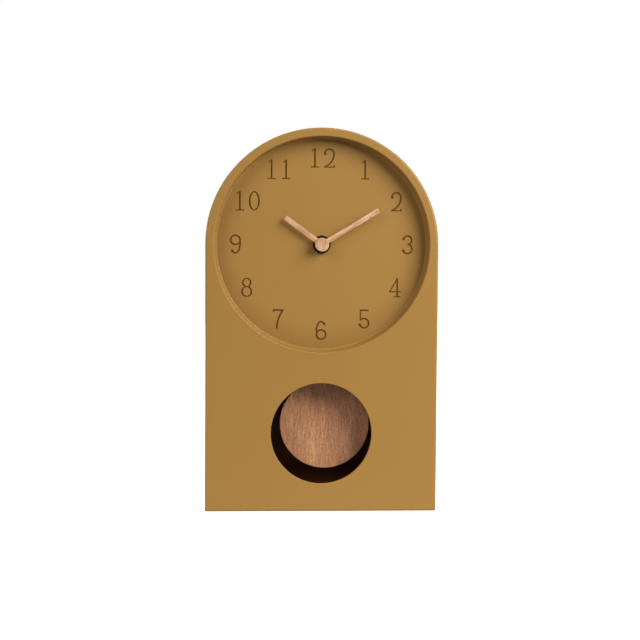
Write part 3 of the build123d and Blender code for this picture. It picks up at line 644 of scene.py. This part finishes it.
def addDriveCoil():
    low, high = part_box("drive_coil")
    middle = boxMiddle("drive_coil")
    radius = (high[2] - low[2]) / 2
    near, far = low[1] - middle.y, high[1] - middle.y
    flange, edge, bore, barrel = (winding[key] for key in ("flange", "flangeRound", "bore", "barrel"))
    profile = [
        (near, bore), (near, radius - edge), (near + edge, radius), (near + flange, radius),
        (near + flange, barrel), (far - flange, barrel), (far - flange, radius), (far - edge, radius),
        (far, radius - edge), (far, bore),
    ]
    mesh = latheMesh("coil_bobbin", profile, middle, "Y")
    bobbin = newPiece("coil_bobbin", mesh, nylon, "case")
    mesh = windingMesh("coil_winding", middle, near + flange, far - flange, radius - winding["belowFlange"])
    turns = newPiece("coil_winding", mesh, copper, "case")
    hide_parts("drive_coil")
    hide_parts("drive_coil")


addDriveCoil()


# raised marks on the back of the movement: the battery's poles and the way to turn the knob

marks = {
    "rise": 0.0004,
    "poleOut": 0.0200,
    "poleDrop": 0.0045,      # from the battery's lower side
    "poleSize": 0.0036,
    "stroke": 0.0009,
    "arrowGap": 0.0022,      # from the knob to the arrow
    "arrowFrom": 205.0,
    "arrowTo": 318.0,
    "headAngle": 16.0,
    "headWide": 0.0011,
    "arrowSteps": 28,
}


def addMark(name, outlines):
    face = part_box("movement_cover")[1][1]
    mesh = plateMesh(name, outlines, face, face + marks["rise"])
    newPiece(name, mesh, blackPlastic, "case")


def addPoles():
    middle = boxMiddle("battery")
    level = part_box("battery")[0][2] - marks["poleDrop"]
    arm, half = marks["poleSize"] / 2, marks["stroke"] / 2
    plus = []
    for quarter in range(4):
        turn = Matrix.Rotation(-quarter * math.pi / 2, 2)
        for point in ((half, arm), (half, half), (arm, half)):
            x, z = turn @ Vector(point)
            plus.append((middle.x + marks["poleOut"] + x, level + z))
    minus = [(middle.x - marks["poleOut"] + x, level + z)
             for x, z in ((-arm, -half), (arm, -half), (arm, half), (-arm, half))]
    addMark("polarity_marks", [plus, minus])


def addArrow():
    knob = boxMiddle("setting_knob")
    radius = boxSize("setting_knob").z / 2 + marks["arrowGap"]
    start, end, half = marks["arrowFrom"], marks["arrowTo"], marks["stroke"] / 2

    def around(angle, reach):
        turn = math.radians(angle)
        return (knob.x + reach * math.cos(turn), knob.z + reach * math.sin(turn))

    sweep = (end - start) / marks["arrowSteps"]
    angles = [start + sweep * k for k in range(marks["arrowSteps"] + 1)]
    outer = [around(angle, radius + half) for angle in angles]
    inner = [around(angle, radius - half) for angle in reversed(angles)]
    head = [around(end, radius + marks["headWide"]), around(end + marks["headAngle"], radius),
            around(end, radius - marks["headWide"])]
    addMark("setting_arrow", [outer + head + inner])


addPoles()
addArrow()
print("battery, coil and marks added")


# camera, fitted to the photograph

cameraView = {
    "distance": 1.45,
    "yaw": 3.5,         # degrees to the left of straight on
    "pitch": 3.75,      # degrees above
    "roll": 0.345,
    "target": (-0.00145, cadLow[1], 0.1513),
    "focalPixels": 1857.0,
    "imagePixels": 640.0,
    "sensor": 36.0,
}


def addCamera():
    yaw, pitch, roll = (math.radians(cameraView[key]) for key in ("yaw", "pitch", "roll"))
    away = Vector((-math.sin(yaw) * math.cos(pitch), -math.cos(yaw) * math.cos(pitch), math.sin(pitch)))
    lens = bpy.data.cameras.new("camera")
    lens.sensor_width = cameraView["sensor"]
    lens.lens = cameraView["sensor"] * cameraView["focalPixels"] / cameraView["imagePixels"]
    camera = bpy.data.objects.new("camera", lens)
    bpy.context.scene.collection.objects.link(camera)
    place = Matrix.Translation(Vector(cameraView["target"]) + away * cameraView["distance"])
    facing = (-away).to_track_quat("-Z", "Y").to_matrix().to_4x4()
    camera.matrix_world = place @ facing @ Matrix.Rotation(roll, 4, "Z")
    bpy.context.scene.camera = camera


addCamera()


# studio: a white floor with its bounce, a soft key at the upper right, a weaker light at the left,
# one along the left side and two for the back

softboxes = {
    # name: (direction from the clock, distance, width, watts)
    "key": ((1.24, -1.00, 0.90), 1.25, 0.92, 21.3),
    "left": ((-1.10, -1.00, 0.80), 3.0, 2.00, 32.0),
    "side": ((-1.00, 0.10, 0.30), 3.0, 1.60, 40.0),
    "rear": ((0.45, 1.00, 0.55), 2.0, 1.20, 24.0),
    "rearLeft": ((-0.45, 1.00, 0.35), 2.0, 1.20, 13.0),
}

studio = {
    "bounceNear": 0.022,     # the bounce lies on the floor before the clock
    "bounceFar": 0.30,
    "bounceWide": 0.80,
    "bounceWatts": 0.40,
    "bounceLift": 0.0003,
    "floorSize": 14.0,
    "floorColour": (0.93, 0.93, 0.93),
    "floorRoughness": 0.9,
    "floorGlow": 1.0,
    "roomSeen": 1.0,
    "roomLight": 0.04,
}


def addLight(name, size, watts, shape="DISK"):
    lamp = bpy.data.lights.new(name, "AREA")
    lamp.shape = shape
    lamp.size = size
    lamp.energy = watts
    light = bpy.data.objects.new(name, lamp)
    light.visible_camera = False
    bpy.context.scene.collection.objects.link(light)
    return light


def addSoftbox(name, direction, distance, size, watts):
    light = addLight(name, size, watts)
    way = Vector(direction).normalized()
    light.location = boxMiddle("case_shell") + way * distance
    light.rotation_mode = "QUATERNION"
    light.rotation_quaternion = (-way).to_track_quat("-Z", "Y")


def addBounce():
    near, far = studio["bounceNear"], studio["bounceFar"]
    light = addLight("bounce", studio["bounceWide"], studio["bounceWatts"], "RECTANGLE")
    light.data.size_y = far - near
    light.location = (0, -(near + far) / 2, studio["bounceLift"])
    light.rotation_euler = (math.pi, 0, 0)


def addFloor():
    mesh = bpy.data.meshes.new("floor")
    half = studio["floorSize"] / 2
    corners = [(-half, -half, 0), (half, -half, 0), (half, half, 0), (-half, half, 0)]
    mesh.from_pydata(corners, [], [(0, 1, 2, 3)])
    floor = bpy.data.objects.new("floor", mesh)
    bpy.context.scene.collection.objects.link(floor)
    material, tree, shader = startMaterial("floorWhite", studio["floorRoughness"])
    shader.inputs["Base Color"].default_value = (*studio["floorColour"], 1.0)
    shader.inputs["Emission Color"].default_value = (*white, 1.0)
    shader.inputs["Emission Strength"].default_value = studio["floorGlow"]
    mesh.materials.append(material)
    floor.visible_diffuse = False   # the bounce light stands for it
    floor.visible_glossy = False


def addRoom():
    world = bpy.data.worlds.new("room")
    world.use_nodes = True
    tree = world.node_tree
    tree.nodes.clear()
    seen = addNode(tree, "ShaderNodeBackground", Color=(*white, 1.0), Strength=studio["roomSeen"])
    light = addNode(tree, "ShaderNodeBackground", Color=(*white, 1.0), Strength=studio["roomLight"])
    rays = tree.nodes.new("ShaderNodeLightPath")
    mix = tree.nodes.new("ShaderNodeMixShader")
    out = tree.nodes.new("ShaderNodeOutputWorld")
    tree.links.new(rays.outputs["Is Camera Ray"], mix.inputs["Fac"])
    tree.links.new(light.outputs["Background"], mix.inputs[1])
    tree.links.new(seen.outputs["Background"], mix.inputs[2])
    tree.links.new(mix.outputs["Shader"], out.inputs["Surface"])
    bpy.context.scene.world = world
    bpy.context.scene.view_settings.view_transform = "Standard"


for name, softbox in softboxes.items():
    addSoftbox(name, *softbox)
addBounce()
addFloor()
addRoom()
print("studio done")
